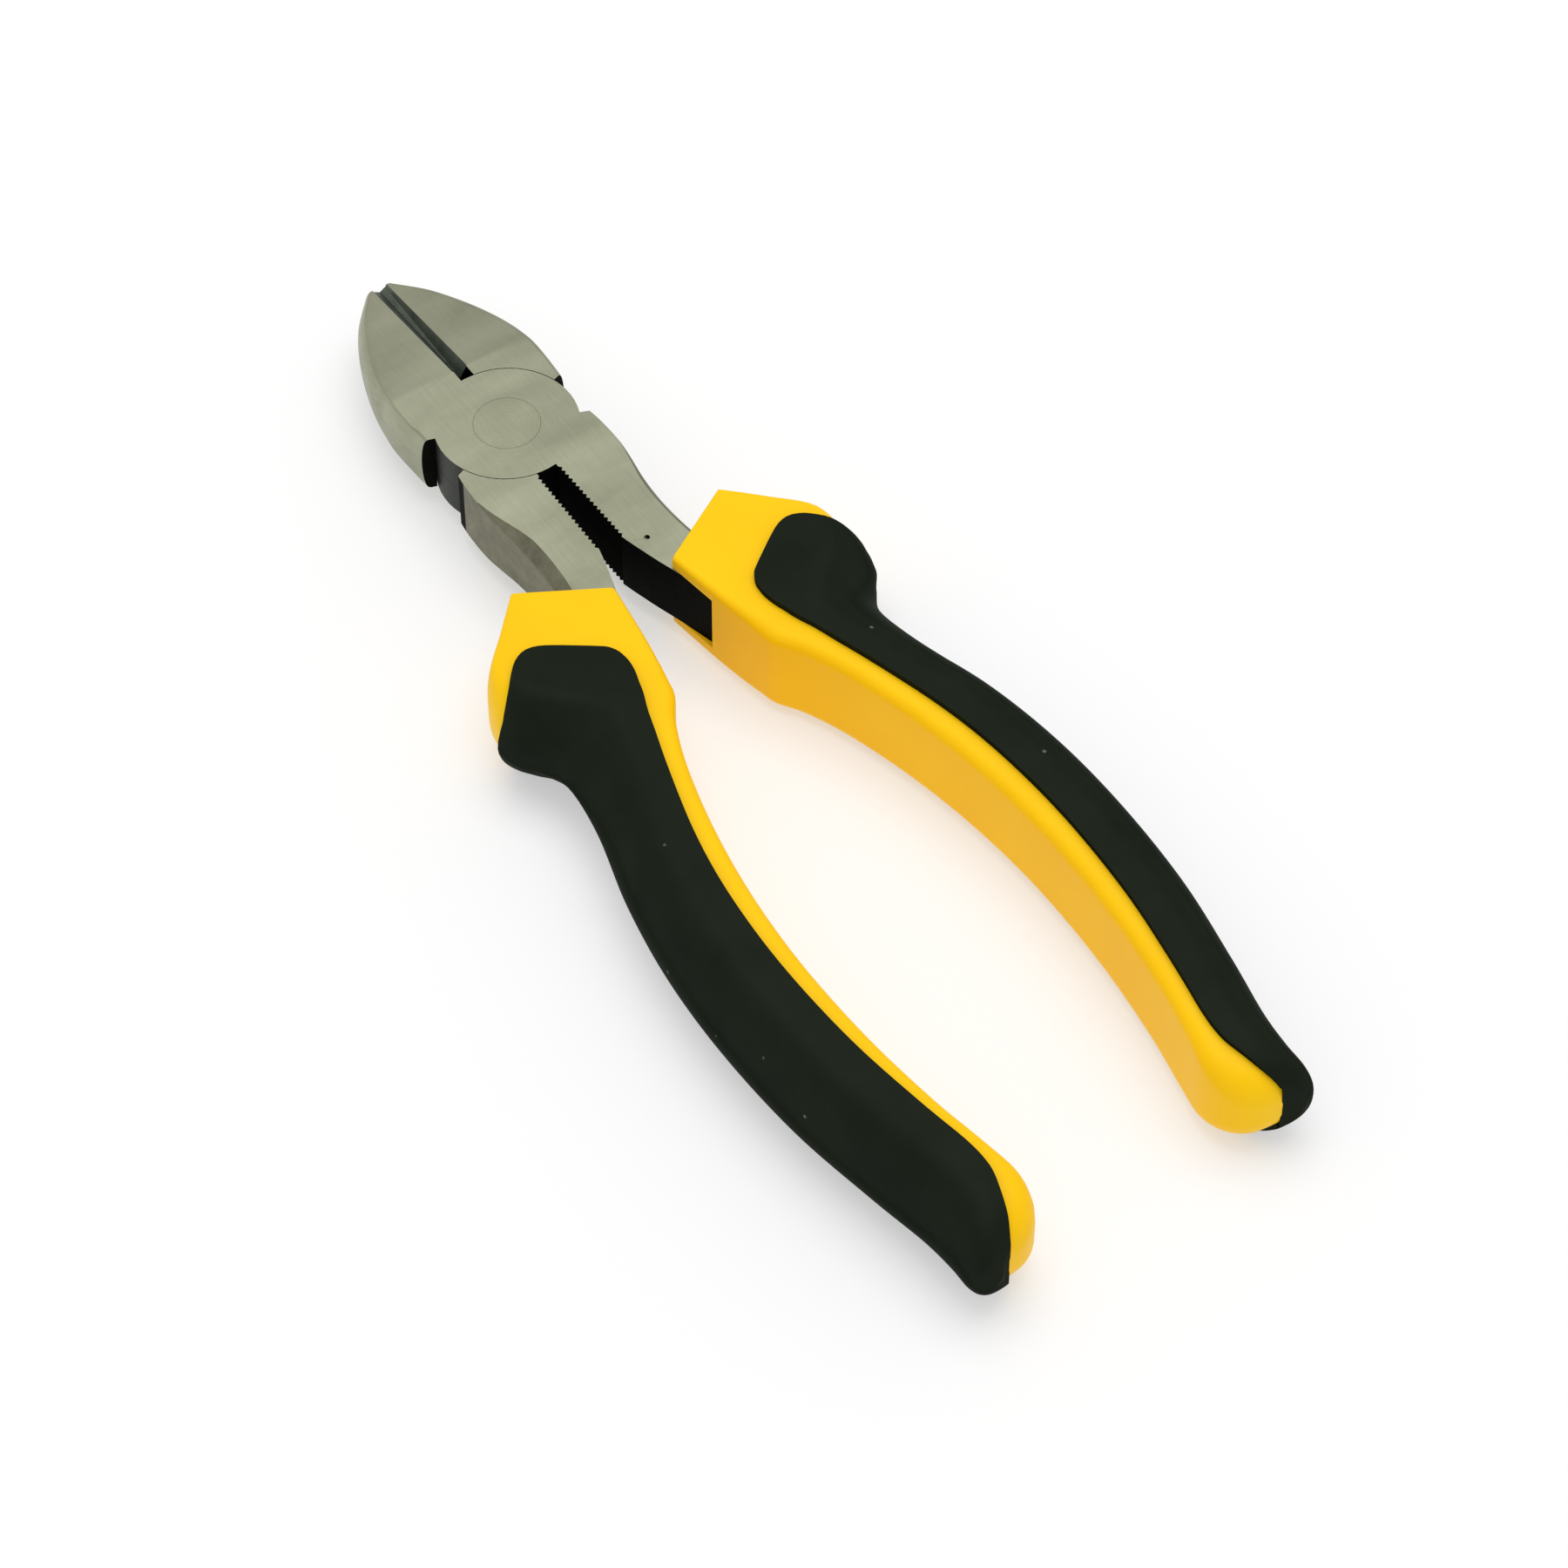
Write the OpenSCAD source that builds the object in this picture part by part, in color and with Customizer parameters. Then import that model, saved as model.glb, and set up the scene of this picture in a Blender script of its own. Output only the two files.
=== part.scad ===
// Diagonal cutting pliers: two forged levers lap-jointed on a flush rivet, each with a hard grip
// core moulded over its tang and a soft cover over the core.
// +X points from the pivot to the jaw tips, +Y to the left handle, +Z up along the pivot.
// The origin is on the pivot axis, on the lower ground face of the joint.

/* [Overall] */
// Pivot axis to the jaw tips
jaw_reach = 29; // [24:0.1:35]
// Pivot axis to the ends of the grips
grip_reach = 129.4; // [108:0.1:156]
// Thickness of the steel head across the joint
head_t = 8.5; // [7:0.1:10.4]
// Widest opening between the two levers, in degrees
open_angle = 38; // [30:1:46]

/* [Joint] */
// Radius of the round lap of each lever
joint_r = 8.75; // [7.2:0.05:10.5]
// Gap round the rim of each lap
joint_gap = 0.1; // [0.06:0.02:0.3]
// Gap between the two laps
lap_gap = 0.04; // [0.02:0.01:0.1]
// Radius of the rivet's shank
rivet_r = 3; // [2.4:0.1:3.8]
// How far the rivet's flush heads spread past its shank
rivet_flare = 1; // [0.5:0.1:1.5]
// Height of the cone of each rivet head
rivet_head_t = 1.2; // [0.8:0.1:1.6]
// Radial running clearance of the right lever on the rivet
rivet_fit = 0.04; // [0.02:0.01:0.08]

/* [Jaws] */
// How far the jaws stand out past the laps, on each side
jaw_shoulder = 0.85; // [0.6:0.05:1.5]
// Half width of each blunt jaw tip
tip_half = 1; // [0.5:0.1:1.5]
// Thickness of the jaws at their tips
tip_t = 4.1; // [3:0.1:6]
// Half width of the open groove above and below the cutting edges
groove_half = 1; // [0.7:0.05:1.4]
// Depth of that groove as a share of half the jaw's thickness
groove_depth = 0.4; // [0.2:0.02:0.8]
// How far the outer sides of the jaws swell at the middle plane
jaw_swell = 1.9; // [0.8:0.1:2.4]
// Half of the gap between the closed cutting edges
edge_gap = 0.03; // [0.02:0.01:0.06]
// Side of the square relief hole behind the cutting edges
relief = 1.8; // [1.2:0.1:2.4]
// Slant of the rear shoulders of the jaws, in degrees
jaw_shoulder_slant = 18; // [14:0.5:22]

/* [Shanks] */
// Half width of the toothed slot behind the joint
slot_half = 1.35; // [1:0.05:1.8]
// Number of teeth on each side of the slot
teeth = 18; // [12:1:20]
// Pitch of the teeth
tooth_pitch = 0.74; // [0.6:0.01:0.8]
// Depth of the teeth
tooth_depth = 0.35; // [0.2:0.05:0.5]
// Bevel along the outer edges of the shanks
shank_bevel = 1.5; // [0.7:0.1:1.6]
// Thickness of the tangs inside the grips
tang_t = 6.5; // [5.4:0.1:7.8]
// Width of the tangs inside the grips
tang_w = 4; // [3.2:0.1:4.8]
// Length of solid grip past the end of each tang
tang_cover = 14; // [10:1:18]
// Diameter of the hardness test mark on the right shank
mark_d = 0.7; // [0.4:0.1:1]

/* [Grips] */
// Thickness of the hard grip cores
core_t = 12.8; // [12:0.1:15.4]
// How far the soft covers stand above and below the cores
cover_rise = 0.85; // [0.6:0.05:1.1]
// Thickness of the soft covers over the outer sides of the cores
cover_wall = 1.6; // [1.2:0.1:2.2]
// Radius along the inner edges of the cores
core_edge_r = 1.6; // [1.2:0.1:2.6]
// Depth of the rounding of the outer sides of the grips
flank_depth = 5.5; // [4:0.1:6.5]
// Distance behind the pivot where the side wall of each collar starts
mouth_wall = 36.5; // [34:0.5:38]
// Gap between pieces that are moulded or riveted together
bond_gap = 0.01; // [0.005:0.005:0.02]

/* [Hidden] */
big = 400;                       // larger than the whole tool
steel = [0.66, 0.66, 0.60];
yellow = [0.98, 0.78, 0.12];
soft_black = [0.12, 0.13, 0.12];

half_t = head_t / 2;
jaw_half = joint_r + jaw_shoulder;
stop_clearance = 2.5;            // degrees left between the shoulders when fully open
shank_shoulder_slant = open_angle + stop_clearance - jaw_shoulder_slant;
taper_x = joint_r + relief;      // the jaws' faces slope from here to the tips
teeth_start = joint_r + 0.4;
teeth_end = teeth_start + teeth * tooth_pitch;
slot_spread = 0.25;              // the slot widens by this much on each side over its length
shank_end = mouth_wall + 3;      // the full section of the shank ends here, inside the core
tang_s = shank_end - 3;          // the tang starts here, inside the shank
half_core = core_t / 2;
half_cover = half_core + cover_rise;

// Everything behind the guard stretches with the reach of the grips.
written_reach = 129.4;
guard_s = 48;
stretch = (grip_reach - guard_s) / (written_reach - guard_s);
function stretched(s) = s <= guard_s ? s : guard_s + (s - guard_s) * stretch;

// Outer edge of a jaw from its rear shoulder to its tip: share of the way from the rim of the
// lap to the tip, share of the way from the tip's half width to the full half width, and share
// of the jaw's swell
jaw_edge = [[-0.45, 0.92, 0.35], [-0.2, 0.96, 0.5], [0, 0.96, 0.65], [0.12, 0.93, 0.75], [0.25, 0.87, 0.85],
            [0.4, 0.76, 0.95], [0.6, 0.57, 1], [0.82, 0.31, 0.9], [1, 0, 0.6]];

// From here on, s is a distance behind the pivot and y a distance out from the centreline.
// Outer edge of a shank, [s, y]
shank_outer = [[3.6, joint_r + 0.42], [6, joint_r + 0.7], [10, joint_r + 0.8], [13, joint_r + 0.5],
               [16, joint_r + 0.1], [20, joint_r - 0.1], [24, joint_r + 0.1], [28, joint_r + 0.6],
               [33, joint_r + 1.3], [shank_end, joint_r + 2.2]];
// Toothed edge of a shank along the slot, as root and crest points
slot_edge = [for (i = [0 : teeth - 1]) let (y = slot_half + slot_spread * i / teeth)
    each [[teeth_start + i * tooth_pitch, y], [teeth_start + (i + 0.5) * tooth_pitch, y + tooth_depth]]];
// Inner edge of a shank behind its teeth
shank_inner = [[teeth_end, slot_half + slot_spread], [teeth_end + 2, 2.1], [28, 3.1], [31.5, 4.2],
               [36, 5.4], [shank_end, 6.5]];
// Centreline of a tang
tang_line = [for (p = [[tang_s, 8.2], [42, 11.6], [50, 15.1], [60, 18.1], [72, 20.3], [85, 21.2],
                       [98, 20.8], [108, 19.5], [written_reach - tang_cover, 18.2]])
             [stretched(p[0]), p[1]]];

// Ribs of a grip from its mouth to its end: inner point [s, y], outer point [s, y], share of the
// full thickness, share of the inner edge radius, share of the flank depth
ribs = [
    [29.6,  3.9,   23.5, 14.6,  0.91, 0.4, 0.15],
    [33.6,  4.45,  27.6, 18.5,  0.94, 0.5, 0.15],
    [38.0,  5.1,   32.1, 23.1,  0.97, 0.6, 0.35],
    [42.0,  5.8,   36.8, 25.4,  1,    0.8, 1],
    [44.5,  6.25,  40.2, 25.4,  1,    1,   1.6],
    [46.6,  6.8,   43.0, 23.6,  1,    1,   1.8],
    [50.0,  8.9,   46.6, 21.9,  1,    1,   1.6],
    [56.0, 11.3,   54.0, 22.6,  1,    1,   1.25],
    [65.0, 13.7,   64.5, 25.3,  1,    1,   1.05],
    [75.0, 15.4,   75.5, 27.0,  1,    1,   1],
    [86.0, 16.2,   87.0, 27.5,  1,    1,   1],
    [98.0, 15.9,   99.5, 26.8,  1,    1,   1],
    [109.0, 14.7, 111.0, 24.9,  1,    1,   1],
    [117.0, 13.2, 119.0, 23.3,  1,    1.1, 1],
    [121.7, 12.2, 123.7, 22.9,  0.95, 1.5, 1],
    [125.3, 12.7, 127.0, 22.9,  0.8,  1.8, 0.9],
    [127.9, 14.5, 128.8, 22.3,  0.53, 1.3, 0.7],
    [129.4, 16.8, 129.4, 20.8,  0.24, 0.5, 0.4]
];
// The lower outer edge of a shank has this share of the bevel on its upper edge
lower_bevel_share = 0.35;
// Inner boundary of a soft cover from its guard to the end of the grip
cover_edge = [[42, 29.4], [38.8, 26.2], [34.6, 21.4], [32.9, 19.5], [32.7, 17.2], [34.2, 14.6],
              [36.7, 11.1], [39.2, 9.35], [42, 9.4], [46, 10.6], [52, 12.7], [60, 15.2], [70, 17.6],
              [80, 18.75], [89, 18.95], [100, 18.3], [110, 16.85], [117, 15.6], [120.5, 15.4],
              [124, 16.2], [127, 17.3], [131, 18.6]];

// ---------- curves and swept solids ----------

// Point at share t from p1 to p2 on the smooth curve through four points
function curve_point(p0, p1, p2, p3, t) =
    0.5 * (2 * p1 + (p2 - p0) * t + (2 * p0 - 5 * p1 + 4 * p2 - p3) * t * t
           + (3 * p1 - p0 - 3 * p2 + p3) * t * t * t);
// Smooth curve through a list of points or rows, with n steps from each one to the next
function smooth(p, n) = concat(
    [for (i = [0 : len(p) - 2], k = [0 : n - 1])
        curve_point(p[max(i - 1, 0)], p[i], p[i + 1], p[min(i + 2, len(p) - 1)], k / n)],
    [p[len(p) - 1]]);
function reversed(p) = [for (i = [len(p) - 1 : -1 : 0]) p[i]];
// A line shifted square to its own run, to the side that faces away from the centreline if d > 0
function beside(p, d) = [for (i = [0 : len(p) - 1])
    let (v = p[min(i + 1, len(p) - 1)] - p[max(i - 1, 0)])
    p[i] + d * [-v[1], v[0]] / norm(v)];
function stretched_points(p) = [for (q = p) [stretched(q[0]), q[1]]];
// From [s, y] to [x, y]
function to_x(p) = [for (q = p) [-q[0], q[1]]];

// Solid through a list of closed sections that all have the same number of points, each running
// clockwise to an eye that looks back from the last section to the first
module skin(sections) {
    n = len(sections[0]);
    last = len(sections) - 1;
    sides = [for (i = [0 : last - 1], k = [0 : n - 1])
        let (a = i * n + k, b = i * n + (k + 1) % n) each [[a, b, b + n], [a, b + n, a + n]]];
    polyhedron(points = [for (s = sections) each s],
               faces = concat(sides, [[for (k = [n - 1 : -1 : 0]) k]], [[for (k = [0 : n - 1]) last * n + k]]));
}

// ---------- steel, about its middle plane: the left lever has the right jaw and the lower lap ----------

// Half the thickness of the jaws at x
function jaw_half_t(x) =
    half_t - (half_t - tip_t / 2) * max(0, x - taper_x) / (jaw_reach - taper_x);

// The right jaw, whose outer side swells from the flat faces to the middle plane
module jaw() {
    run = jaw_reach - joint_r;
    rise = jaw_half - tip_half;
    rows = smooth([for (e = jaw_edge) [joint_r + e[0] * run, tip_half + e[1] * rise, e[2] * jaw_swell]], 4);
    intersection() {
        skin([for (r = rows) let (h = jaw_half_t(r[0]))
            concat([[r[0], -edge_gap, h], [r[0], -edge_gap, -h]],
                   [for (t = [180 : -18 : 0]) [r[0], -r[1] - r[2] * pow(sin(t), 0.8), h * cos(t)]])]);
        // the rear shoulder lies on a ray from the pivot
        rotate(-90 + jaw_shoulder_slant) linear_extrude(big, center = true) square(big);
    }
}

// The bevel from one jaw's upper face down to its cutting edge
module groove_bevel() {
    skin([for (x = [taper_x, jaw_reach + 5])
        let (h = jaw_half_t(x), low = h * (1 - groove_depth))
        [[x, 0.1, h + 1], [x, 0.1, low], [x, -edge_gap, low], [x, -groove_half, h],
         [x, -groove_half, h + 1]]]);
}

module shank_outline() {
    outer = smooth(shank_outer, 4);
    inner = concat([[0, slot_half]], slot_edge, smooth(shank_inner, 3));
    intersection() {
        polygon(to_x(concat([[0, joint_r]], outer, reversed(inner))));
        // the front shoulder lies on a ray from the pivot
        rotate(90 + shank_shoulder_slant) square(big);
    }
}

// The bevel along the upper outer edge of a shank, which widens from the lap to the grip
module shank_edge_bevel(width) {
    edge = [for (p = smooth(shank_outer, 3)) if (p[0] > joint_r - 0.5) p];
    out = beside(edge, 1);
    skin([for (i = [0 : len(edge) - 1])
        let (b = width * min(1, 0.02 + (edge[i][0] - joint_r + 0.5) / 9),
             side = out[i] - edge[i], in = edge[i] - b * side, up = half_t + 1,
             low = edge[i] + b * side)
        [[-in[0], in[1], up], [-in[0], in[1], half_t], [-low[0], low[1], half_t - 1.6 * b],
         [-low[0], low[1], up]]]);
}

module tang() {
    line = smooth(tang_line, 4);
    linear_extrude(tang_t, center = true)
        polygon(to_x(concat(beside(line, -tang_w / 2), reversed(beside(line, tang_w / 2)))));
}

module both_ways() {
    children();
    mirror([0, 0, 1]) children();
}

module lever() {
    difference() {
        union() {
            jaw();
            linear_extrude(head_t, center = true) shank_outline();
            translate([0, 0, -half_t]) cylinder(half_t, r = joint_r, $fn = 144);
            tang();
        }
        // room for the other lever's lap
        translate([0, 0, -lap_gap / 2]) cylinder(big, r = joint_r + joint_gap, $fn = 144);
        both_ways() groove_bevel();
        shank_edge_bevel(shank_bevel);
        mirror([0, 0, 1]) shank_edge_bevel(lower_bevel_share * shank_bevel);
        translate([taper_x - relief / 2, 0, 0]) cube([relief, relief, big], center = true);
    }
}

// The rivet with some room round it
module rivet_shape(room) {
    rotate_extrude($fn = 96)
        polygon([[0, -half_t], [rivet_r + rivet_flare + room, -half_t],
                 [rivet_r + room, rivet_head_t - half_t], [rivet_r + room, half_t - rivet_head_t],
                 [rivet_r + rivet_flare + room, half_t], [0, half_t]]);
}

// A lap's bore is cut right through its own thickness.
module lever_with_bore(room) {
    difference() {
        lever();
        rivet_shape(room);
    }
}

// ---------- grips, about the middle plane, for the left handle ----------

// Section of the grip at one rib, with its own half thickness and its outer side pulled in
function rib_section(r, half, pull) =
    let (a = [-stretched(r[0]), r[1]], b = [-stretched(r[2]), r[3]], full_w = norm(b - a),
         dir = (b - a) / full_w, w = full_w - min(pull, 0.45 * full_w), h = half * r[4],
         e = min(core_edge_r * r[5], 0.45 * w, 0.8 * h), f = min(flank_depth * r[6], 0.55 * w),
         square_off = 0.45 + 0.55 * r[6],
         upper = concat([for (t = [0 : 30 : 90]) [e - e * cos(t), h - e + e * sin(t)]],
                        [for (t = [0 : 15 : 89]) [w - f + f * pow(sin(t), square_off),
                                                  h * pow(cos(t), square_off)]]),
         loop = concat(upper, [[w, 0]], [for (q = reversed(upper)) [q[0], -q[1]]]))
    [for (q = reversed(loop)) [a[0] + q[0] * dir[0], a[1] + q[0] * dir[1], q[1]]];

// How much of the cover's wall lies over the core's outer side at rib i
function wall_share(i) = i < 3 ? 0 : i < 4 ? 0.5 : 1;

module core_shape(room) {
    rows = smooth([for (i = [0 : len(ribs) - 1]) concat(ribs[i], wall_share(i))], 3);
    skin([for (r = rows) rib_section(r, half_core + room, cover_wall * max(0, r[7]) - room)]);
}

module cover_shape() {
    skin([for (r = smooth(ribs, 3)) rib_section(r, half_cover, 0)]);
}

// Room in the core for the steel, open on the inner side as far as the collar's side wall
module mouth() {
    linear_extrude(head_t + 2 * bond_gap, center = true) {
        offset(delta = bond_gap) shank_outline();
        translate([-mouth_wall, -5]) square([mouth_wall, 5 + shank_inner[4][1] + 1]);
    }
}

module grip_core() {
    difference() {
        core_shape(0);
        mouth();
        scale([1, 1, 1 + 2 * bond_gap / tang_t]) linear_extrude(tang_t, center = true)
            offset(delta = bond_gap) projection() tang();
    }
}

module grip_cover() {
    edge = smooth(stretched_points(cover_edge), 3);
    difference() {
        intersection() {
            cover_shape();
            linear_extrude(big, center = true)
                polygon(to_x(concat(edge, [[grip_reach + 5, 40], [41.5, 40]])));
        }
        core_shape(bond_gap);
    }
}

// ---------- nodes: the right half is the left half turned over about X ----------

module seated() translate([0, 0, half_t]) children();
module turned() rotate([180, 0, 0]) children();

module left_lever() {
    color(steel) seated() lever_with_bore(bond_gap);
}

module right_lever() {
    color(steel) seated() difference() {
        turned() lever_with_bore(rivet_fit);
        // hardness test mark
        translate([-24.2, -4, half_t]) sphere(d = mark_d, $fn = 24);
    }
}

module pivot_rivet() {
    color(steel) seated() rivet_shape(0);
}

module left_grip_core() {
    color(yellow) seated() grip_core();
}

module right_grip_core() {
    color(yellow) seated() turned() grip_core();
}

module left_grip_cover() {
    color(soft_black) seated() grip_cover();
}

module right_grip_cover() {
    color(soft_black) seated() turned() grip_cover();
}

left_lever();
right_lever();
pivot_rivet();
left_grip_core();
right_grip_core();
left_grip_cover();
right_grip_cover();
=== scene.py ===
# %% [markdown]
# # Diagonal cutting pliers
#
# These side cutters are two forged steel levers that cross at a flush rivet. Each lever ends in a
# tang, and each tang wears a grip of two plastics: a hard yellow core and a soft black cover.
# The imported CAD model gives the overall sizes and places. This lesson keeps its steel, softens its
# edges, and models the grips again as smooth bodies, then gives each surface its real finish.

# %% Load the frame
import math

import bmesh
import bpy
from mathutils import Matrix, Vector


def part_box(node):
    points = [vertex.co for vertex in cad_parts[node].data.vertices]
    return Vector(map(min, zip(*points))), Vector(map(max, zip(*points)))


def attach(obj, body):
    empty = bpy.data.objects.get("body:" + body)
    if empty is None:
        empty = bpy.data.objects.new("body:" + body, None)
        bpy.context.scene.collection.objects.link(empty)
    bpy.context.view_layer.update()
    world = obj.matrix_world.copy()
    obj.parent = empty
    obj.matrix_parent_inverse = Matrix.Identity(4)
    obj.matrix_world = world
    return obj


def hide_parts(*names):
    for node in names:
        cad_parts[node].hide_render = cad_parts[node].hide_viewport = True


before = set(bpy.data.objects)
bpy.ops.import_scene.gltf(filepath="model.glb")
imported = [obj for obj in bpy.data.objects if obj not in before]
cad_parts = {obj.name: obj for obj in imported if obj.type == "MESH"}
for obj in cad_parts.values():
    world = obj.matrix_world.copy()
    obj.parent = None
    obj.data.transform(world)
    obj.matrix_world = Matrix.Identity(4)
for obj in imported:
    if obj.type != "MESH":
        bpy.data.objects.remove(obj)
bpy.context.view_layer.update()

MM = 0.001
print("pieces in the frame:", ", ".join(sorted(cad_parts)))

# %% [markdown]
# The few sizes that everything below leans on are read from the frame, not typed again. The pivot
# is the Z axis, the jaws point along +X, and each half is the other one turned over about the
# middle plane of the joint.

# %% Sizes taken from the frame
joint_low, joint_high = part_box("pivot_rivet")
HEAD_T = joint_high.z - joint_low.z
MIDDLE = (joint_high.z + joint_low.z) / 2
JAW_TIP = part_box("left_lever")[1].x
GRIP_END = -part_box("left_grip_core")[0].x
CORE_HALF_T = (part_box("left_grip_core")[1].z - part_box("left_grip_core")[0].z) / 2
COVER_HALF_T = (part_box("left_grip_cover")[1].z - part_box("left_grip_cover")[0].z) / 2
print(f"joint {HEAD_T / MM:.1f} mm thick, jaws reach {JAW_TIP / MM:.1f} mm, grips {GRIP_END / MM:.1f} mm")


# %% [markdown]
# ## Helpers
#
# A grip is a row of ribs with a smooth curve through them. The Catmull-Rom curve passes through
# every rib, so the ribs can be read off the real handle one by one.

# %% A smooth curve through rows of numbers
def curve_at(rows, place):
    """The row at a place between 0 and the last row, on a smooth curve through all of them."""
    last = len(rows) - 1
    i = min(int(place), last - 1)
    t = place - i
    before, a, b, after = rows[max(i - 1, 0)], rows[i], rows[i + 1], rows[min(i + 2, last)]
    return [
        0.5 * (2 * q + (r - p) * t + (2 * p - 5 * q + 4 * r - s) * t * t + (3 * q - p - 3 * r + s) * t ** 3)
        for p, q, r, s in zip(before, a, b, after)
    ]


print("half way from 1 to 4 on a smooth curve through 0, 1, 4 and 9:", curve_at([[0], [1], [4], [9]], 1.5))

# %% [markdown]
# Blender wants linear colours, and a maker picks them as sRGB hex. One function turns the
# one into the other.

# %% Colours
def linear(hex_colour):
    """An sRGB hex colour as linear red, green, blue and alpha."""
    parts = [int(hex_colour[i:i + 2], 16) / 255 for i in (1, 3, 5)]
    return [c / 12.92 if c <= 0.04045 else ((c + 0.055) / 1.055) ** 2.4 for c in parts] + [1.0]


print("a warm yellow in linear light:", [round(c, 3) for c in linear("#FFCC0C")])

# %% [markdown]
# Every material below is a small tree of nodes. One function adds any node, sets its properties
# and inputs, and links what is handed to it as a socket.

# %% Nodes for materials
def add_node(tree, kind, inputs=None, **settings):
    """Adds a node of a kind. An input that is a socket is linked, anything else is set."""
    made = tree.nodes.new(kind)
    for name, value in settings.items():
        setattr(made, name, value)
    for name, value in (inputs or {}).items():
        if isinstance(value, bpy.types.NodeSocket):
            tree.links.new(value, made.inputs[name])
        else:
            made.inputs[name].default_value = value
    return made


def new_material(name):
    """An empty material with its shader, and the object coordinates that patterns follow."""
    material = bpy.data.materials.new(name)
    material.use_nodes = True
    tree = material.node_tree
    shader = tree.nodes["Principled BSDF"]
    coordinates = add_node(tree, "ShaderNodeTexCoord").outputs["Object"]
    return material, tree, shader, coordinates


def per_metre(size_mm):
    """The scale of a pattern whose features are so many millimetres across."""
    return 1 / (size_mm * MM)


print("a pattern with features 1 mm across has a scale of", round(per_metre(1)))

# %% [markdown]
# New pieces are built in a bmesh, Blender's mesh for editing. One function turns a finished one
# into an object that stands at the origin, unturned and unscaled, as every piece here does.

# %% From bmesh to object
def new_piece(name, bm):
    """A new object at the origin, made from a bmesh that is done with."""
    mesh = bpy.data.meshes.new(name)
    bm.to_mesh(mesh)
    bm.free()
    piece = bpy.data.objects.new(name, mesh)
    bpy.context.scene.collection.objects.link(piece)
    return piece


# %% [markdown]
# ## Steel
#
# The levers are drop-forged chrome-vanadium steel. After forging, the flat faces of the joint, the
# jaws and the shanks are ground on a belt, which leaves a bright satin with fine scratches. The
# ground skin isn't coated, so its grey has a hint of green from the rust-proofing oil.
#
# The look is three patterns mixed: noise stretched along the tool for the scratches, soft noise
# for the clouds that uneven belt pressure leaves, and a wave in rings round the rivet. The real
# scratches are finer than a render shows, so they are drawn coarser.

# %% Ground steel
SCRATCH_MM = 0.25
CLOUD_MM = 7
RING_MM = 1.9
CLOUD_SHIFT = (0.011, 0.023, 0)
RINGS_INSIDE = 6 * MM
RINGS_GONE = 12 * MM


def ground_steel(name, bright, dull, roughness):
    """Belt-ground steel: fine scratches along the tool and faint rings round the rivet."""
    material, tree, shader, at = new_material(name)
    scratch_at = add_node(tree, "ShaderNodeMapping", {"Vector": at, "Scale": (0.06, 1, 0.4)})
    scratches = add_node(tree, "ShaderNodeTexNoise", {
        "Vector": scratch_at.outputs["Vector"], "Scale": per_metre(SCRATCH_MM),
        "Detail": 4, "Roughness": 0.6})
    cloud_at = add_node(tree, "ShaderNodeMapping", {
        "Vector": at, "Location": CLOUD_SHIFT, "Scale": (1, 0.35, 1)})
    clouds = add_node(tree, "ShaderNodeTexNoise", {
        "Vector": cloud_at.outputs["Vector"], "Scale": per_metre(CLOUD_MM), "Detail": 3, "Roughness": 0.5})
    rings = add_node(tree, "ShaderNodeTexWave", {
        "Vector": at, "Scale": per_metre(RING_MM), "Distortion": 2.5, "Detail": 3, "Detail Scale": 2.0},
        wave_type="RINGS", rings_direction="Z")
    radius = add_node(tree, "ShaderNodeVectorMath", {"Vector": at}, operation="LENGTH")
    near_rivet = add_node(tree, "ShaderNodeMapRange", {
        "Value": radius.outputs["Value"], "From Min": RINGS_INSIDE, "From Max": RINGS_GONE,
        "To Min": 0.22, "To Max": 0.02})
    grain = add_node(tree, "ShaderNodeMix", {
        "Factor": near_rivet.outputs["Result"], "A": scratches.outputs["Fac"],
        "B": rings.outputs["Fac"]}, data_type="FLOAT")
    tone = add_node(tree, "ShaderNodeMix", {
        "Factor": 0.22, "A": clouds.outputs["Fac"], "B": grain.outputs["Result"]}, data_type="FLOAT")
    colour = add_node(tree, "ShaderNodeValToRGB", {"Fac": tone.outputs["Result"]})
    colour.color_ramp.elements[0].position = 0.3
    colour.color_ramp.elements[0].color = linear(dull)
    colour.color_ramp.elements[1].position = 0.7
    colour.color_ramp.elements[1].color = linear(bright)
    gloss = add_node(tree, "ShaderNodeMapRange", {
        "Value": tone.outputs["Result"], "From Min": 0.3, "From Max": 0.7,
        "To Min": roughness + 0.05, "To Max": roughness - 0.05})
    bump = add_node(tree, "ShaderNodeBump", {
        "Height": scratches.outputs["Fac"], "Strength": 0.12, "Distance": 0.03 * MM})
    tree.links.new(colour.outputs["Color"], shader.inputs["Base Color"])
    tree.links.new(gloss.outputs["Result"], shader.inputs["Roughness"])
    tree.links.new(bump.outputs["Normal"], shader.inputs["Normal"])
    shader.inputs["Metallic"].default_value = 1.0
    return material


# Belt-ground: a broad soft highlight that the scratches stretch across the tool.
ground = ground_steel("steel_belt_ground", "#AAAB94", "#8A8C76", 0.42)
# The same belt runs over the rivet's head, so the eye hardly tells it from the lever.
rivet_ground = ground_steel("steel_rivet_ground", "#AAAA93", "#8A8B75", 0.42)
print("ground finishes:", ground.name, "and", rivet_ground.name)

# %% [markdown]
# Where the belt can't reach, the steel keeps its black oxide: in the slot, on the notch faces and
# inside the lap. It is a thin crust, almost black and dull. Here it is drawn darker and duller still,
# as painted shade that keeps the slot and notches dark under the overhead light. The sides of the
# shanks keep the grey skin of the forging, the bevels over the cutting edges are honed after
# blackening, and the rims of the laps are turned, which wears the black thin. All four are one
# recipe, an uneven crust over blotches, with its own colours, roughness and share of bare metal.

# %% Black oxide with painted shade, and forged skin
BLOTCH_MM = 2.2
CRUST_MM = 0.3


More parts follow.
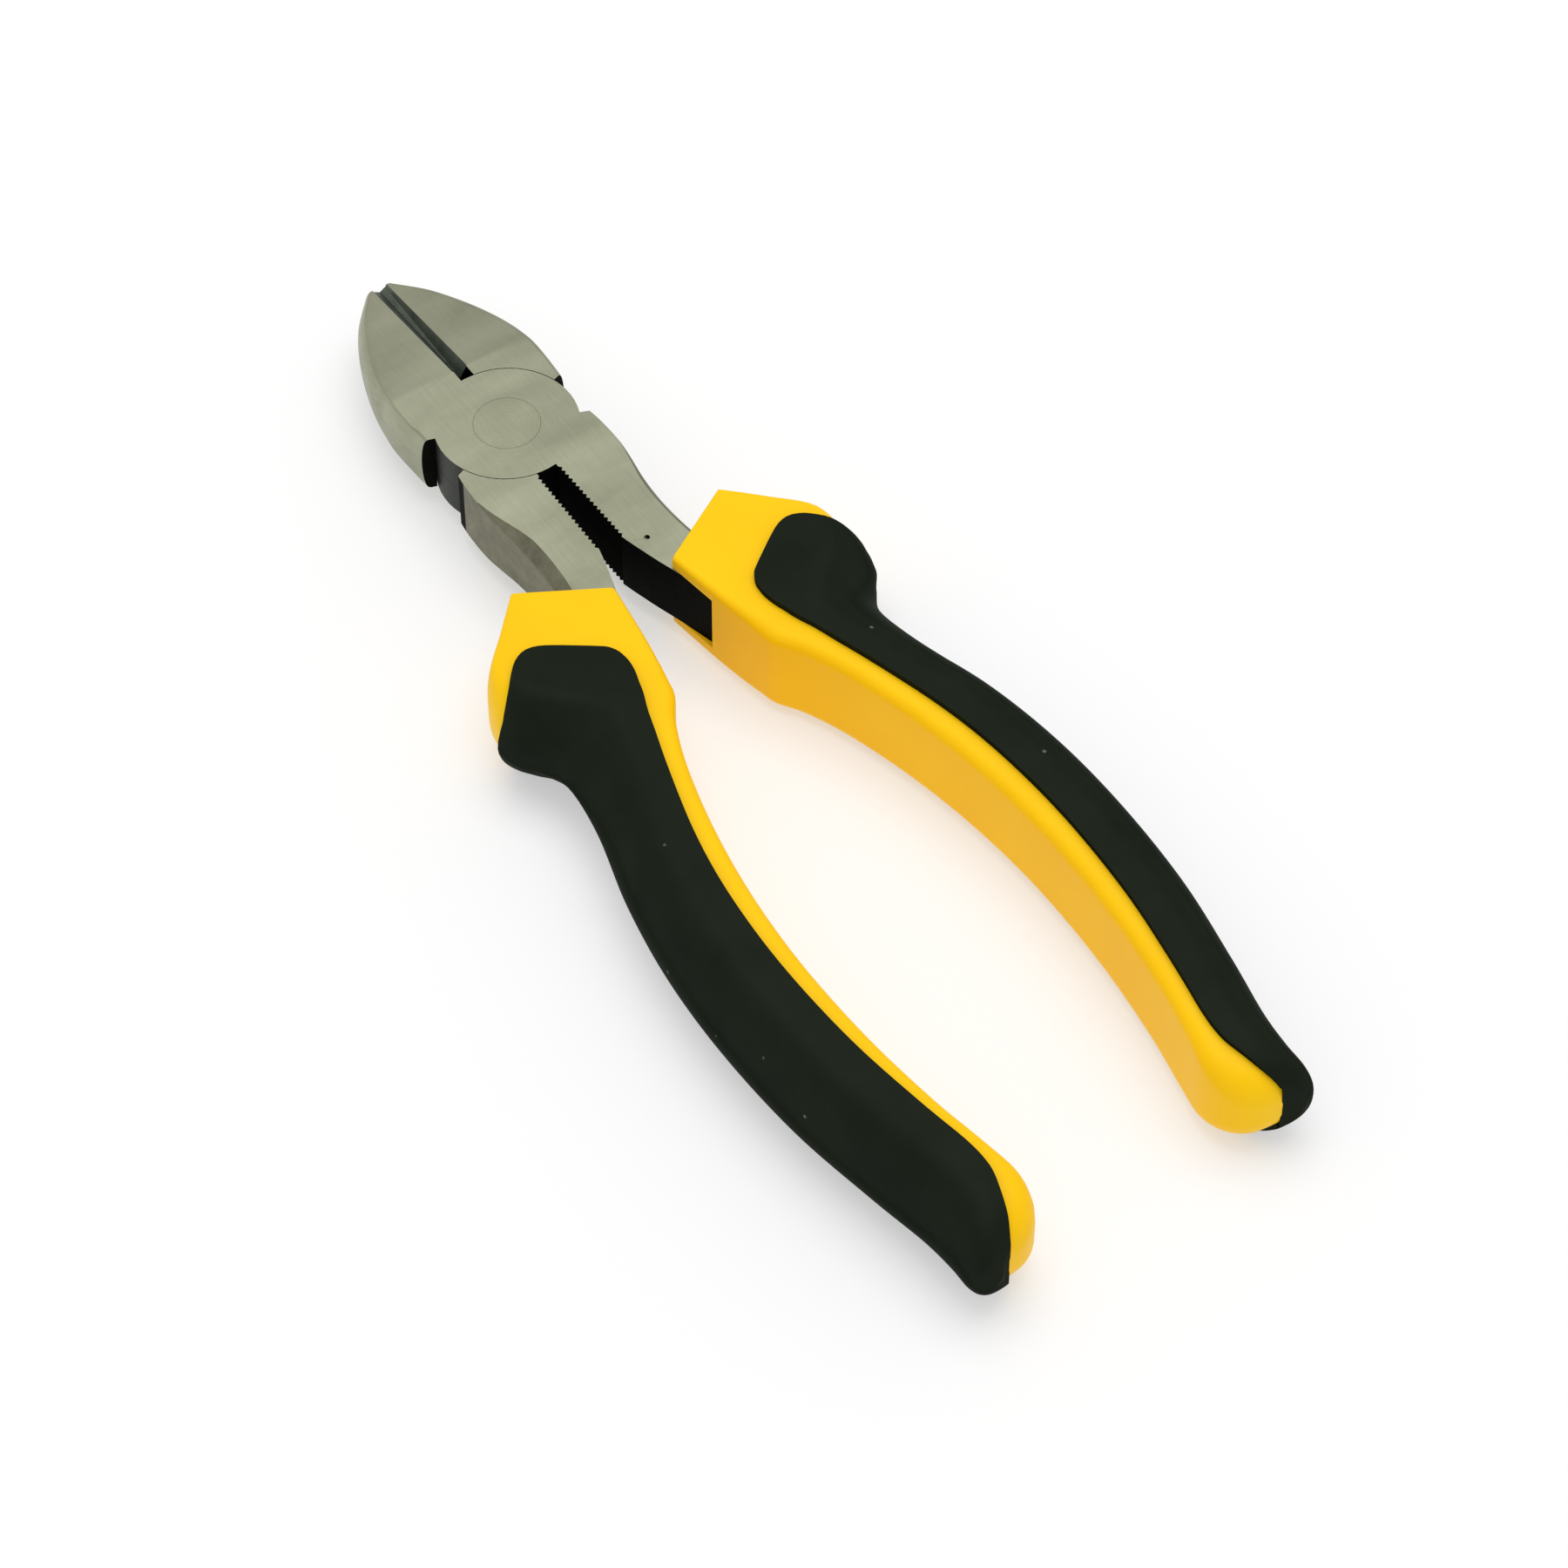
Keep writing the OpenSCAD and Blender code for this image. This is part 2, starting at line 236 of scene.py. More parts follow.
def oxide_steel(name, dark, light, roughness, metallic, specular=0.5):
    """Heat-blackened steel with a fine uneven crust."""
    material, tree, shader, at = new_material(name)
    blotches = add_node(tree, "ShaderNodeTexNoise", {
        "Vector": at, "Scale": per_metre(BLOTCH_MM), "Detail": 5, "Roughness": 0.6})
    crust = add_node(tree, "ShaderNodeTexNoise", {
        "Vector": at, "Scale": per_metre(CRUST_MM), "Detail": 3, "Roughness": 0.6})
    colour = add_node(tree, "ShaderNodeValToRGB", {"Fac": blotches.outputs["Fac"]})
    colour.color_ramp.elements[0].position = 0.32
    colour.color_ramp.elements[0].color = linear(dark)
    colour.color_ramp.elements[1].position = 0.72
    colour.color_ramp.elements[1].color = linear(light)
    gloss = add_node(tree, "ShaderNodeMapRange", {
        "Value": crust.outputs["Fac"], "To Min": roughness - 0.1, "To Max": roughness + 0.12})
    bump = add_node(tree, "ShaderNodeBump", {
        "Height": crust.outputs["Fac"], "Strength": 0.35, "Distance": 0.06 * MM})
    tree.links.new(colour.outputs["Color"], shader.inputs["Base Color"])
    tree.links.new(gloss.outputs["Result"], shader.inputs["Roughness"])
    tree.links.new(bump.outputs["Normal"], shader.inputs["Normal"])
    shader.inputs["Metallic"].default_value = metallic
    shader.inputs["Specular IOR Level"].default_value = specular
    return material


# Black oxide, drawn darker than the real crust as painted shade, so a slot reads as a dark gap.
black_oxide_and_painted_shade = oxide_steel("steel_oxide_and_painted_shade", "#020302", "#080B06", 0.6, 0.0, specular=0.03)
# Forged skin: duller and browner than the ground faces next to it.
forged_skin = oxide_steel("steel_forged_skin", "#6B6A58", "#84836F", 0.5, 0.9)
# Blackened rim: a dark grey between the black notch and the bright disc.
rim_steel = oxide_steel("steel_blackened_rim", "#23271F", "#2B3027", 0.5, 0.6)
# Honed bevel: a cool grey band that draws the two cutting edges.
groove_steel = oxide_steel("steel_honed_bevel", "#485046", "#60685C", 0.42, 0.6)
print("dark finishes:", black_oxide_and_painted_shade.name, forged_skin.name, rim_steel.name, groove_steel.name)

# %% [markdown]
# ## Levers
#
# The shape of each lever is already right in the CAD model, but its corners are knife sharp, as
# no ground forging is. So each lever is copied, its loose triangles are merged, flat faces are
# joined into one face each, and a Bevel modifier breaks the corners by about a tenth of a
# millimetre. Weighted normals then keep the big flat faces flat to the eye.

# %% Copy a lever and break its edges
def merged_copy(node, name):
    """A copy of a CAD node as one clean mesh."""
    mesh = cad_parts[node].data.copy()
    mesh.name = name
    mesh.materials.clear()
    bm = bmesh.new()
    bm.from_mesh(mesh)
    bmesh.ops.remove_doubles(bm, verts=bm.verts, dist=0.002 * MM)
    bmesh.ops.dissolve_limit(
        bm, angle_limit=math.radians(0.6), verts=bm.verts, edges=bm.edges, delimit={"NORMAL"})
    bm.to_mesh(mesh)
    bm.free()
    piece = bpy.data.objects.new(name, mesh)
    bpy.context.scene.collection.objects.link(piece)
    return piece


def break_edges(piece, width, angle, segments=3):
    """Rounds the edges that are sharper than an angle, and shades the rest smooth."""
    for polygon in piece.data.polygons:
        polygon.use_smooth = True
    bevel = piece.modifiers.new("broken_edges", "BEVEL")
    bevel.width = width
    bevel.segments = segments
    bevel.limit_method = "ANGLE"
    bevel.angle_limit = math.radians(angle)
    bevel.harden_normals = True
    even = piece.modifiers.new("even_shading", "WEIGHTED_NORMAL")
    even.weight = 100
    even.keep_sharp = False


print("lever as it comes:", len(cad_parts["left_lever"].data.polygons), "faces")

# %% [markdown]
# Each face of a lever is given its finish by where it lies and which way it faces: flat faces and
# the sides of the jaws are ground, the sides of the shanks are forged skin, the bevels over the
# cutting edges are honed, the rims of the laps are dark, and all else is black oxide, drawn darker
# than the real crust as painted shade. A rule for each finish is easier to change than a list of
# face numbers, and it holds for both levers.

# %% Finish of each face of a lever
JOINT_R = 8.75 * MM
RIM_SLACK = 0.35 * MM
GROOVE_HALF = 1.1 * MM
FLAT_UP = 0.97
JAW_START = 2.4 * MM
SHANK_START = 5 * MM
GROUND, OXIDE_AND_PAINTED_SHADE, FORGED, HONED, RIM = range(5)
STEEL_FINISHES = [ground, black_oxide_and_painted_shade, forged_skin, groove_steel, rim_steel]


def finish_of_face(centre, normal):
    """Which of the steel finishes a face has."""
    up = abs(normal.z)
    height = abs(centre.z - MIDDLE)
    within_rim = centre.xy.length < JOINT_R + RIM_SLACK
    faces_outwards = normal.y * centre.y > 0
    if centre.x > JOINT_R and abs(centre.y) < GROOVE_HALF and up < FLAT_UP:
        return HONED if 0.15 < up else OXIDE_AND_PAINTED_SHADE
    if up > FLAT_UP and height > 0.3 * HEAD_T:
        return GROUND
    if centre.x > JAW_START and centre.xy.length > JOINT_R + RIM_SLACK and normal.x > -0.85:
        return GROUND
    if within_rim and abs(centre.y) > SHANK_START and up < 0.5:
        return RIM
    if centre.x < -SHANK_START and faces_outwards and up < FLAT_UP and not within_rim:
        return FORGED
    # All else is black oxide, drawn dark as painted shade for the slot and notches.
    return OXIDE_AND_PAINTED_SHADE


def finish_steel(piece):
    """Gives a lever its finishes, face by face."""
    for material in STEEL_FINISHES:
        piece.data.materials.append(material)
    for polygon in piece.data.polygons:
        polygon.material_index = finish_of_face(polygon.center, polygon.normal)


print(len(STEEL_FINISHES), "finishes to a lever")

# %% [markdown]
# The rivet's head and the lever are ground as one face, so the edge of its seat isn't broken. The
# edges to be broken are given a weight of one, the edge of the seat stays at nought, and the Bevel
# modifier goes by weight. Both levers are then finished by one loop.

# %% Leave the rivet's seat sharp, and finish both levers
RIVET_R = joint_high.x
EDGE_WIDTH = 0.12 * MM
EDGE_ANGLE = 28


def leave_rivet_seat(piece, angle):
    """Weighs the edges to be broken: every sharp one except those round the rivet's head."""
    bm = bmesh.new()
    bm.from_mesh(piece.data)
    weight = bm.edges.layers.float.new("bevel_weight_edge")
    for edge in bm.edges:
        sharp = edge.is_manifold and edge.calc_face_angle() > math.radians(angle)
        at_rivet = all(vertex.co.xy.length < RIVET_R + 0.1 * MM for vertex in edge.verts)
        edge[weight] = 1.0 if sharp and not at_rivet else 0.0
    bm.to_mesh(piece.data)
    bm.free()
    piece.modifiers["broken_edges"].limit_method = "WEIGHT"


for side in ("left", "right"):
    lever = merged_copy(f"{side}_lever", f"{side}_lever_forging")
    finish_steel(lever)
    break_edges(lever, EDGE_WIDTH, EDGE_ANGLE)
    leave_rivet_seat(lever, EDGE_ANGLE)
    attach(lever, f"{side}_half")
    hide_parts(f"{side}_lever")
    print(lever.name, len(lever.data.polygons), "faces before its edges are broken")

# %% [markdown]
# The rivet is peened into two countersinks and ground off with the joint, so only a faint ring
# shows. It keeps its CAD shape.

# %% Rivet
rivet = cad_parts["pivot_rivet"]
rivet.data.materials.clear()
rivet.data.materials.append(rivet_ground)
rivet.data.polygons.foreach_set("use_smooth", [False] * len(rivet.data.polygons))
print("rivet:", len(rivet.data.polygons), "faces, finish", rivet.data.materials[0].name)

# %% [markdown]
# ## Grips
#
# The real grips are moulded in two shots. The first shot is a hard plastic core over the steel
# tang; the second is a soft rubber-like cover over the core's back, with a guard for the fingers
# at the front. Both follow one row of ribs. Each rib is a slice across the grip: where it starts
# on the inner side and ends on the outer side, in millimetres behind the pivot and off the
# centreline, and then four shares that say how thick the grip is there, how round its inner edge
# and its outer flank are, and how much of the cover's wall is taken off the core.

# %% Ribs of the left grip
EDGE_R = 1.6
FLANK_R = 5.5
COVER_WALL = 1.6
RIBS = [
    # inner s, y,  outer s, y,  thickness, edge, flank, cover wall
    (29.6, 3.9, 23.5, 14.6, 0.91, 0.4, 0.15, 0),
    (33.6, 4.45, 27.6, 18.5, 0.94, 0.5, 0.15, 0),
    (38.0, 5.1, 32.1, 23.1, 0.97, 0.6, 0.35, 0),
    (42.0, 5.8, 36.8, 25.4, 1, 0.8, 1, 0.5),
    (44.5, 6.25, 40.2, 25.4, 1, 1, 1.6, 1),
    (46.6, 6.8, 43.0, 23.6, 1, 1, 1.8, 1),
    (50.0, 8.9, 46.6, 21.9, 1, 1, 1.6, 1),
    (56.0, 11.3, 54.0, 22.6, 1, 1, 1.25, 1),
    (65.0, 13.7, 64.5, 25.3, 1, 1, 1.05, 1),
    (75.0, 15.4, 75.5, 27.0, 1, 1, 1, 1),
    (86.0, 16.2, 87.0, 27.5, 1, 1, 1, 1),
    (98.0, 15.9, 99.5, 26.8, 1, 1, 1, 1),
    (109.0, 14.7, 111.0, 24.9, 1, 1, 1, 1),
    (117.0, 13.2, 119.0, 23.3, 1, 1.1, 1, 1),
    (121.7, 12.2, 123.7, 22.9, 0.95, 1.5, 1, 1),
    (125.3, 12.7, 127.0, 22.9, 0.8, 1.8, 0.9, 1),
    (127.9, 14.5, 128.8, 22.3, 0.53, 1.3, 0.7, 1),
    (129.4, 16.8, 129.4, 20.8, 0.24, 0.5, 0.4, 1),
]
LAST_RIB = len(RIBS) - 1
print(len(RIBS), "ribs to each grip")


# %% [markdown]
# A slice runs from its inner edge, a small round corner, over a flat top to its outer flank, a
# deep round that fills the palm, and the same again underneath. Where the flank's round is small,
# near the collar, it is drawn squarer too. The outline of the core is the cover's, less the wall.

# %% Outline of one slice of the grip
CORNER_STEPS = 5
FLAT_STEPS = 4
FLANK_STEPS = 12


def slice_outline(place, half_t, wall=0.0, inset=0.0):
    """The closed outline of the grip at a place along its ribs, in millimetres.

    It runs from the inner side over the top, round the outer side and back underneath.
    """
    s0, y0, s1, y1, share, edge, flank, wall_share = curve_at(RIBS, place)
    start, end = Vector((-s0, y0)), Vector((-s1, y1))
    across = (end - start).normalized()
    full = (end - start).length
    width = full - min(wall * max(0, wall_share), 0.45 * full) - inset
    height = half_t * share - inset
    edge_r = max(0.02, min(EDGE_R * edge - inset, 0.45 * width, 0.8 * height))
    depth = max(0.02, min(FLANK_R * flank - inset, 0.55 * width))
    square = 0.45 + 0.55 * flank
    upper = []
    for k in range(CORNER_STEPS + 1):
        t = k / CORNER_STEPS * math.pi / 2
        upper.append((edge_r * (1 - math.cos(t)), height - edge_r * (1 - math.sin(t))))
    for k in range(1, FLAT_STEPS):
        upper.append((edge_r + (width - depth - edge_r) * k / FLAT_STEPS, height))
    for k in range(FLANK_STEPS):
        t = k / FLANK_STEPS * math.pi / 2
        upper.append((width - depth * (1 - math.sin(t) ** square), height * math.cos(t) ** square))
    outline = upper + [(width, 0)] + [(u, -v) for u, v in reversed(upper)]
    middle = MIDDLE / MM
    return [Vector((*(start + across * (u + inset)), middle + v)) * MM for u, v in outline]


print(len(slice_outline(0, CORE_HALF_T / MM)), "points to each slice")

# %% [markdown]
# A core is one long extrusion. It starts as the face of its first slice, and the extrude operator
# pulls that face from slice to slice, so the walls between stay one closed skin. The face that
# was left behind at each step is deleted, or it would stay inside as a partition. The first four
# slices and the last six shrink in small steps, which rounds the rims as the mould does.

# %% Extrude a body through slices
def extruded_body(name, slices):
    """A closed body whose skin runs through all the slices."""
    bm = bmesh.new()
    cap = bm.faces.new([bm.verts.new(point) for point in slices[0]])
    first_cap = cap
    for outline in slices[1:]:
        grown = bmesh.ops.extrude_face_region(bm, geom=[cap])["geom"]
        if cap != first_cap:
            bmesh.ops.delete(bm, geom=[cap], context="FACES_ONLY")
        cap = next(part for part in grown if isinstance(part, bmesh.types.BMFace))
        for vertex, point in zip(cap.verts, outline):
            vertex.co = point
    bmesh.ops.recalc_face_normals(bm, faces=bm.faces)
    return new_piece(name, bm)


# Where each of these slices stands, in ribs from the start or the end, and how far it shrinks.
RIM_STEPS = [(0.0, 0.4), (0.013, 0.18), (0.04, 0.05), (0.07, 0.01)]
END_STEPS = [(1.6, 0.1), (1.35, 0.3), (1.15, 0.6), (1.0, 1.0), (0.9, 1.5), (0.85, 2.1)]
SLICES_PER_RIB = 6
END_RIBS = 1.7


def core_slices():
    """The slices of a hard core, with its rounded mouth and end."""
    half_t = CORE_HALF_T / MM
    mouth = [slice_outline(place, half_t, COVER_WALL, inset) for place, inset in RIM_STEPS]
    body = [
        slice_outline(k / SLICES_PER_RIB, half_t, COVER_WALL)
        for k in range(1, int((LAST_RIB - END_RIBS) * SLICES_PER_RIB))
    ]
    end = [slice_outline(LAST_RIB - place, half_t, COVER_WALL, inset) for place, inset in END_STEPS]
    return mouth + body + end


left_core = extruded_body("left_hard_core", core_slices())
print("core:", len(left_core.data.polygons), "faces")

# %% [markdown]
# The steel enters the core through a mouth at the front. Between the two plates of the collar the
# inner side is open, and its side wall starts a little way back. A Boolean cut with a flat prism
# makes both at once.

# %% Cut the mouth of the core
MOUTH = [
    (20, -5), (36.5, -5), (36.5, 5.6), (39.4, 6.6), (39.4, 10.8),
    (33, 10.0), (28, 9.3), (24, 8.8), (20, 8.7)]


def prism(name, outline, low, high):
    """A flat outline, in millimetres behind the pivot and off the centreline, extruded upwards."""
    bm = bmesh.new()
    floor_face = bm.faces.new([bm.verts.new((-s * MM, y * MM, low)) for s, y in outline])
    grown = bmesh.ops.extrude_face_region(bm, geom=[floor_face])["geom"]
    bmesh.ops.translate(
        bm, verts=[part for part in grown if isinstance(part, bmesh.types.BMVert)], vec=(0, 0, high - low))
    bmesh.ops.recalc_face_normals(bm, faces=bm.faces)
    return new_piece(name, bm)


def cut_away(piece, cutter):
    """Cuts one body out of another for good, and removes the cutter."""
    cut = piece.modifiers.new("cut", "BOOLEAN")
    cut.object = cutter
    cut.operation = "DIFFERENCE"
    cut.solver = "EXACT"
    result = bpy.data.meshes.new_from_object(
        piece.evaluated_get(bpy.context.evaluated_depsgraph_get()))
    piece.modifiers.remove(cut)
    piece.data = result
    bpy.data.objects.remove(cutter)


cut_away(left_core, prism("mouth_cutter", MOUTH, 0, HEAD_T))
print("core with its mouth:", len(left_core.data.polygons), "faces")

# %% [markdown]
# A cover is a sheet of rubber wrapped round the back of the core. Its edge is what the eye
# follows, so the edge is set out first, as points seen from above: across the front of the guard,
# and along the side to the end of the grip. On the flank the front edge can't be seen from above,
# so those points are given at once as a place along the ribs and a share of the way round.

# %% Where the cover's edge runs
COVER_FRONT = [(35.5, 12.7), (34.2, 14.5), (33.0, 16.4), (32.6, 18.1), (33.2, 19.7)]
FLANK_FRONT = [(2.31, 0.33), (2.63, 0.35), (2.83, 0.37), (3.06, 0.4), (3.25, 0.435), (3.38, 0.5)]
COVER_SIDE = [
    (35.5, 12.7), (36.7, 11.1), (37.8, 9.9), (39.5, 9.3), (42, 9.4), (46, 10.6), (52, 12.7),
    (60, 15.2), (70, 17.6), (80, 18.75), (89, 18.95), (100, 18.3), (110, 16.85), (117, 15.6),
    (120.5, 15.4), (124, 16.2), (127, 17.3), (128.5, 18.1)]
print(len(COVER_FRONT) + len(FLANK_FRONT), "points across the front,", len(COVER_SIDE), "along the side")

# %% [markdown]
# A point seen from above has to be found again on the ribs. Halving the grip over and over, and
# keeping the half that the point lies in, finds the rib that it lies on. How far it is across that
# rib then says how far round the slice it is.

# %% From a point seen from above to a place on a slice
HALVINGS = 40


def place_on_grip(s, y):
    """The place along the ribs, and the distance across, of a point seen from above."""
    low, high = 0.0, float(LAST_RIB)
    point = Vector((-s, y))
    for _ in range(HALVINGS):
        place = (low + high) / 2
        s0, y0, s1, y1 = curve_at(RIBS, place)[:4]
        start, end = Vector((-s0, y0)), Vector((-s1, y1))
        across = (end - start).normalized()
        offset = point - start
        if across.x * offset.y - across.y * offset.x > 0:
            low = place
        else:
            high = place
    return place, offset.dot(across)


def running_length(points):
    """The length run so far at each point of a line."""
    lengths = [0.0]
    for a, b in zip(points, points[1:]):
        lengths.append(lengths[-1] + (b - a).length)
    return lengths


def share_of_slice(place, across):
    """How far round the slice, from 0 to 1, a point on its flat top lies."""
    outline = slice_outline(place, COVER_HALF_T / MM)
    lengths = running_length(outline)
    start = outline[0].xy
    for i, point in enumerate(outline):
        if (point.xy - start).length >= across * MM:
            before = (outline[i - 1].xy - start).length
            step = (point.xy - start).length - before
            mix = (across * MM - before) / max(step, 1e-9)
            return (lengths[i - 1] + mix * (lengths[i] - lengths[i - 1])) / lengths[-1]
    return 0.5


def point_on_slice(place, share):
    """The point that lies a share of the way round the slice at a place."""
    outline = slice_outline(place, COVER_HALF_T / MM)
    lengths = running_length(outline)
    wanted = share * lengths[-1]
    i = next(k for k in range(1, len(lengths)) if lengths[k] >= wanted or k == len(lengths) - 1)
    mix = (wanted - lengths[i - 1]) / max(lengths[i] - lengths[i - 1], 1e-12)
    return outline[i - 1].lerp(outline[i], mix)


def on_slices(points):
    """Points seen from above, each as a place along the ribs and a share of the way round."""
    places = [place_on_grip(*point) for point in points]
    return [(place, share_of_slice(place, across)) for place, across in places]


front_edge = on_slices(COVER_FRONT) + FLANK_FRONT
side_edge = on_slices(COVER_SIDE)
print("front edge:", [(round(a, 2), round(b, 2)) for a, b in front_edge])

# %% [markdown]
# The cover starts as a flat grid. One way, the grid runs from the guard to the end of the
# grip; the other way it runs from the upper edge, round the outer side, to the lower edge. Every
# point is moved to its place on the slices, and over the last rows the two halves close at the
# middle plane, with a slight bulge, as the rubber wraps the end. The skin is then thickened
# inwards. A cloth would sag and a Boolean would leave a ragged rim; a grid keeps the rim even.

# %% Wrap a grid round the core
COVER_ROWS = 140
COVER_COLUMNS = 48
CAP_START = 0.95
LAST_MARGIN = 0.4
FRONT_FADE = 6
END_BULGE = 0.45 * MM
END_Y = 20.0 * MM
END_SQUEEZE = 0.6
SQUEEZE_RAMP = 2.5
END_RAMP = 4
COVER_SKIN = 1.0 * MM


def cover_place(along, round_it):
    """Place and share on the slices for a point of the flat grid."""
    mirrored = round_it > 0.5
    half = (1 - round_it if mirrored else round_it) * 2
    front_place, front_share = curve_at(front_edge, half * (len(front_edge) - 1))
    side_place, side_share = curve_at(side_edge, min(1, along / CAP_START) * (len(side_edge) - 1))
    corner_place, corner_share = front_edge[0]
    end_place = side_edge[-1][0]
    run = (side_place - corner_place) / (end_place - corner_place)
    last_place = end_place + (LAST_RIB - LAST_MARGIN - end_place) * min(1, END_RAMP * half)
    place = front_place + (last_place - front_place) * run
    bulge = front_share - (corner_share + (0.5 - corner_share) * half)
    share = side_share + (0.5 - side_share) * half + bulge * (1 - run) ** FRONT_FADE
    return place, 1 - share if mirrored else share


def wrapped_cover(name):
    """The cover's outer skin as a grid, thickened inwards."""
    bm = bmesh.new()
    bmesh.ops.create_grid(bm, x_segments=COVER_ROWS, y_segments=COVER_COLUMNS, size=0.5)
    for vertex in bm.verts:
        along, round_it = vertex.co.x + 0.5, vertex.co.y + 0.5
        vertex.co = point_on_slice(*cover_place(along, round_it))
        closing = math.cos(max(0, (along - CAP_START) / (1 - CAP_START)) * math.pi / 2)
        vertex.co.z = MIDDLE + (vertex.co.z - MIDDLE) * closing
        inwards = (1 - closing) * min(1, SQUEEZE_RAMP * (1 - abs(2 * round_it - 1)))
        vertex.co.y += (END_Y - vertex.co.y) * END_SQUEEZE * inwards
        vertex.co.x -= END_BULGE * inwards
    bm.normal_update()
    outermost = max(bm.faces, key=lambda face: face.calc_center_median().y)
    if outermost.normal.y < 0:
        bmesh.ops.reverse_faces(bm, faces=bm.faces)
    piece = new_piece(name, bm)
    skin = piece.modifiers.new("skin", "SOLIDIFY")
    skin.thickness = COVER_SKIN
    skin.offset = -1
    return piece


left_cover = wrapped_cover("left_soft_cover")
print("cover:", len(left_cover.data.polygons), "faces on its outer skin")

# %% [markdown]
# ## Plastics
#
# The hard core is moulded ABS in a warm safety yellow. The steel of the mould is spark-eroded, so
# the plastic has a satin skin with a soft highlight, and it shows faint flow marks where the melt
# slowed down. Two close yellows on a large soft noise make the marks, and a fine noise the skin.

# %% Moulded hard plastic
FLOW_MM = 14
SPARK_MM = 0.35


def moulded_plastic(name, body, deep, roughness):
    """Satin moulded plastic with faint flow marks and a fine spark-eroded texture."""
    material, tree, shader, at = new_material(name)
    flow = add_node(tree, "ShaderNodeTexNoise", {
        "Vector": at, "Scale": per_metre(FLOW_MM), "Detail": 2, "Roughness": 0.5})
    colour = add_node(tree, "ShaderNodeValToRGB", {"Fac": flow.outputs["Fac"]})
    colour.color_ramp.elements[0].position = 0.3
    colour.color_ramp.elements[0].color = linear(deep)
    colour.color_ramp.elements[1].position = 0.7
    colour.color_ramp.elements[1].color = linear(body)
    texture = add_node(tree, "ShaderNodeTexNoise", {
        "Vector": at, "Scale": per_metre(SPARK_MM), "Detail": 2, "Roughness": 0.5})
    gloss = add_node(tree, "ShaderNodeMapRange", {
        "Value": texture.outputs["Fac"], "To Min": roughness - 0.05, "To Max": roughness + 0.05})
    bump = add_node(tree, "ShaderNodeBump", {
        "Height": texture.outputs["Fac"], "Strength": 0.1, "Distance": 0.03 * MM})
    tree.links.new(colour.outputs["Color"], shader.inputs["Base Color"])
    tree.links.new(gloss.outputs["Result"], shader.inputs["Roughness"])
    tree.links.new(bump.outputs["Normal"], shader.inputs["Normal"])
    shader.inputs["IOR"].default_value = 1.52
    shader.inputs["Specular IOR Level"].default_value = 0.1
    return material


# Moulded ABS: saturated and even, with no mirror-like glints.
hard_yellow = moulded_plastic("abs_moulded_yellow", "#FFCC0C", "#FCC608", 0.42)
print("core finish:", hard_yellow.name)

# %% [markdown]
# The cover is thermoplastic rubber. It is nearly black with a green cast, and matt: it has a faint
# sheen where it faces the eye and none where it turns away, which Layer Weight gives. Soft rubber
# catches dust, so a few cells of a Voronoi pattern hold a pale speck each.

# %% Moulded soft rubber
BLOOM_MM = 7
DUST_SPACING_MM = 2.6
GRAIN_MM = 0.3
DUST_COLOUR = "#5A665A"


def moulded_rubber(name, body, dusty):
    """Matt thermoplastic rubber with a fine texture and scattered dust."""
    material, tree, shader, at = new_material(name)
    bloom = add_node(tree, "ShaderNodeTexNoise", {
        "Vector": at, "Scale": per_metre(BLOOM_MM), "Detail": 4, "Roughness": 0.6})
    cells = add_node(tree, "ShaderNodeTexVoronoi", {"Vector": at, "Scale": per_metre(DUST_SPACING_MM)})
    specks = add_node(tree, "ShaderNodeMapRange", {
        "Value": cells.outputs["Distance"], "From Min": 0.05, "From Max": 0.11, "To Min": 1, "To Max": 0})
    rare = add_node(tree, "ShaderNodeSeparateColor", {"Color": cells.outputs["Color"]})
    chosen = add_node(tree, "ShaderNodeMath", {
        0: rare.outputs["Red"], 1: 0.9}, operation="GREATER_THAN")
    dust = add_node(tree, "ShaderNodeMath", {
        0: specks.outputs["Result"], 1: chosen.outputs["Value"]}, operation="MULTIPLY")
    tint = add_node(tree, "ShaderNodeValToRGB", {"Fac": bloom.outputs["Fac"]})
    tint.color_ramp.elements[0].position = 0.3
    tint.color_ramp.elements[0].color = linear(body)
    tint.color_ramp.elements[1].position = 0.75
    tint.color_ramp.elements[1].color = linear(dusty)
    colour = add_node(tree, "ShaderNodeMix", {
        "Factor": dust.outputs["Value"], "A": tint.outputs["Color"],
        "B": linear(DUST_COLOUR)}, data_type="RGBA")
    texture = add_node(tree, "ShaderNodeTexNoise", {
        "Vector": at, "Scale": per_metre(GRAIN_MM), "Detail": 2, "Roughness": 0.5})
    bump = add_node(tree, "ShaderNodeBump", {
        "Height": texture.outputs["Fac"], "Strength": 0.25, "Distance": 0.05 * MM})
    tree.links.new(colour.outputs["Result"], shader.inputs["Base Color"])
    tree.links.new(bump.outputs["Normal"], shader.inputs["Normal"])
    turned_away = add_node(tree, "ShaderNodeLayerWeight", {"Blend": 0.5})
    sheen = add_node(tree, "ShaderNodeMapRange", {
        "Value": turned_away.outputs["Facing"], "From Min": 0.2, "From Max": 0.6,
        "To Min": 0.1, "To Max": 0.01})
    tree.links.new(sheen.outputs["Result"], shader.inputs["Specular IOR Level"])
    shader.inputs["Roughness"].default_value = 0.55
    shader.inputs["IOR"].default_value = 1.48
    return material


# Moulded rubber: dark and soft to the eye beside the bright yellow.
soft_black = moulded_rubber("tpr_moulded_black", "#0F160B", "#151D11")
print("cover finish:", soft_black.name)

# %% [markdown]
# The right grip is the left grip turned half a turn about the tool's long axis, in the middle
# plane of the joint. That is a rotation and not a mirror image, so no face turns inside out. Each
# piece then gets its finish, soft rims from a Bevel modifier, and its place in the tool.

